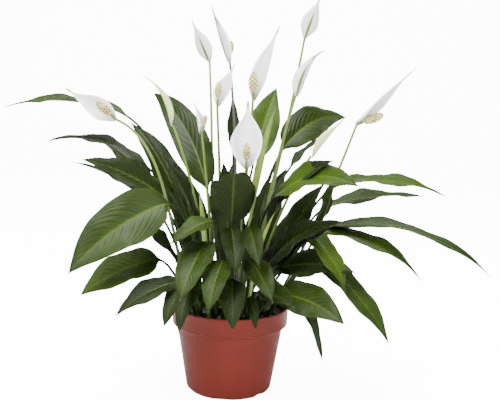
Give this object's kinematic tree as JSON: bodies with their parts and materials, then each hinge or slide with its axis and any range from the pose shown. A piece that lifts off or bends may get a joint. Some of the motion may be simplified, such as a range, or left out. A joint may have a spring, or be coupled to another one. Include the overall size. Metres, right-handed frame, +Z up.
{
  "type": "potted peace lily",
  "caption": "Flowering peace lily: arching glossy leaves and white hooded blooms rising from soil in a round tapered nursery pot.",
  "frame": {"origin": "centre of the pot's flat base, on the surface it stands on", "axes": "+Z up along the pot's axis, -Y towards the plant's fullest side, X across its widest spread"},
  "size_m": [0.5225, 0.2679, 0.4416],
  "materials": {
    "pot_plastic": "satin terracotta-coloured plastic",
    "soil": "moist dark peat, matt and crumbly",
    "leaf_green": "glossy deep green leaf with a paler matt underside",
    "young_leaf": "pale green, satin",
    "scape_green": "yellow-green stalk, satin",
    "scape_dark": "dark green stalk, satin",
    "spathe_white": "soft white bract, satin",
    "spathe_young": "greenish white bract, satin",
    "spadix_cream": "cream florets, matt"
  },
  "bodies": {
    "root": {"pot": "pot_plastic", "rolled_leaf_back": "young_leaf", "rolled_leaf_front_left": "young_leaf", "rolled_leaf_front_right": "young_leaf", "scape_centre_dark": "scape_dark", "scape_centre_left": "scape_green", "scape_centre_small": "scape_green", "scape_far_left": "scape_green", "scape_far_right": "scape_green", "scape_front": "scape_green", "scape_left_back": "scape_green", "scape_left_closed": "scape_green", "scape_right_back": "scape_green", "scape_right_closed": "scape_green", "scape_right_curled": "scape_green", "scape_tall": "scape_green", "shoot_back_high": "leaf_green", "shoot_back_left": "leaf_green", "shoot_back_right": "leaf_green", "shoot_front": "leaf_green", "shoot_front_high": "leaf_green", "shoot_front_inner": "leaf_green", "shoot_front_left": "leaf_green", "shoot_front_left_drape": "leaf_green", "shoot_front_right_inner": "leaf_green", "shoot_front_right_low": "leaf_green", "shoot_left_back": "leaf_green", "shoot_left_broad": "leaf_green", "shoot_left_high": "leaf_green", "shoot_left_low": "leaf_green", "shoot_left_mid": "leaf_green", "shoot_right_inner": "leaf_green", "shoot_right_long": "leaf_green", "shoot_right_low": "leaf_green", "shoot_right_mid": "leaf_green", "shoot_right_outer": "leaf_green", "shoot_right_upper": "leaf_green", "soil": "soil", "spadix_centre_dark": "spadix_cream", "spadix_centre_left": "spadix_cream", "spadix_centre_small": "spadix_cream", "spadix_far_left": "spadix_cream", "spadix_far_right": "spadix_cream", "spadix_front": "spadix_cream", "spadix_left_back": "spadix_cream", "spadix_right_back": "spadix_cream", "spadix_right_curled": "spadix_cream", "spadix_tall": "spadix_cream", "spathe_centre_dark": "spathe_white", "spathe_centre_left": "spathe_white", "spathe_centre_small": "spathe_white", "spathe_far_left": "spathe_white", "spathe_far_right": "spathe_white", "spathe_front": "spathe_white", "spathe_left_back": "spathe_white", "spathe_left_closed": "spathe_young", "spathe_right_back": "spathe_white", "spathe_right_closed": "spathe_young", "spathe_right_curled": "spathe_white", "spathe_tall": "spathe_white"}
  },
  "joints": []
}
